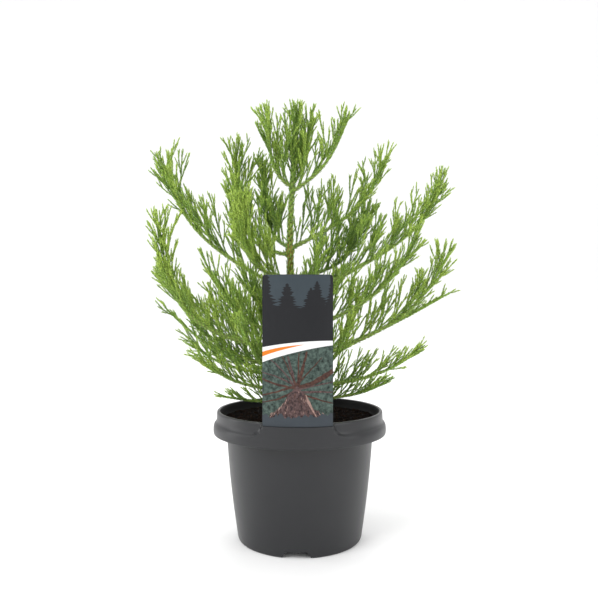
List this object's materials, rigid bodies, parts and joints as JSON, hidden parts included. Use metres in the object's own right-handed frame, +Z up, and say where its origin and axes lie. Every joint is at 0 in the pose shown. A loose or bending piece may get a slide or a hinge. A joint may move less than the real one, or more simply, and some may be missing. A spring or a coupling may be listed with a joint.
{
  "type": "potted giant sequoia sapling",
  "caption": "Young conifer with a leaning green stem and upswept cord-like foliage plumes, growing in a round nursery pot with a plain plant label in its rim.",
  "frame": {"origin": "centre of the pot's flat underside, on the pot's axis", "axes": "+Z up along the pot's axis, -Y towards the plant label, +X to the right as the label is read"},
  "size_m": [0.3384, 0.2194, 0.4871],
  "materials": {
    "pot_plastic": "satin",
    "compost": "matte",
    "label_card": "satin",
    "bark": "matte",
    "foliage": "matte"
  },
  "bodies": {
    "root": {"pot": "pot_plastic", "soil": "compost", "plant_label": "label_card", "trunk": "bark", "bough_back_left": "bark", "bough_back_low": "bark", "bough_back_low_right": "bark", "bough_back_mid": "bark", "bough_back_right": "bark", "bough_back_upper_left": "bark", "bough_base_left": "bark", "bough_base_right": "bark", "bough_front_upper_left": "bark", "bough_inner_left": "bark", "bough_left": "bark", "bough_low_left": "bark", "bough_low_right": "bark", "bough_lower_left": "bark", "bough_mid_left": "bark", "bough_mid_right": "bark", "bough_right": "bark", "bough_rim_right": "bark", "bough_top_right": "bark", "bough_upper_left": "bark", "bough_upper_right": "bark", "foliage_back_left": "foliage", "foliage_back_low": "foliage", "foliage_back_low_right": "foliage", "foliage_back_mid": "foliage", "foliage_back_right": "foliage", "foliage_back_upper_left": "foliage", "foliage_base_left": "foliage", "foliage_base_right": "foliage", "foliage_far_inner_right": "foliage", "foliage_far_right": "foliage", "foliage_front": "foliage", "foliage_front_left": "foliage", "foliage_front_right": "foliage", "foliage_front_upper_left": "foliage", "foliage_inner_left": "foliage", "foliage_leader": "foliage", "foliage_leader_left": "foliage", "foliage_leader_right": "foliage", "foliage_left": "foliage", "foliage_low_left": "foliage", "foliage_low_right": "foliage", "foliage_low_right_outer": "foliage", "foliage_lower_left": "foliage", "foliage_mid_left": "foliage", "foliage_mid_left_outer": "foliage", "foliage_mid_right": "foliage", "foliage_near_left": "foliage", "foliage_right": "foliage", "foliage_rim_left": "foliage", "foliage_rim_right": "foliage", "foliage_stem_right": "foliage", "foliage_top_right": "foliage", "foliage_upper_left": "foliage", "foliage_upper_right": "foliage"}
  },
  "joints": []
}
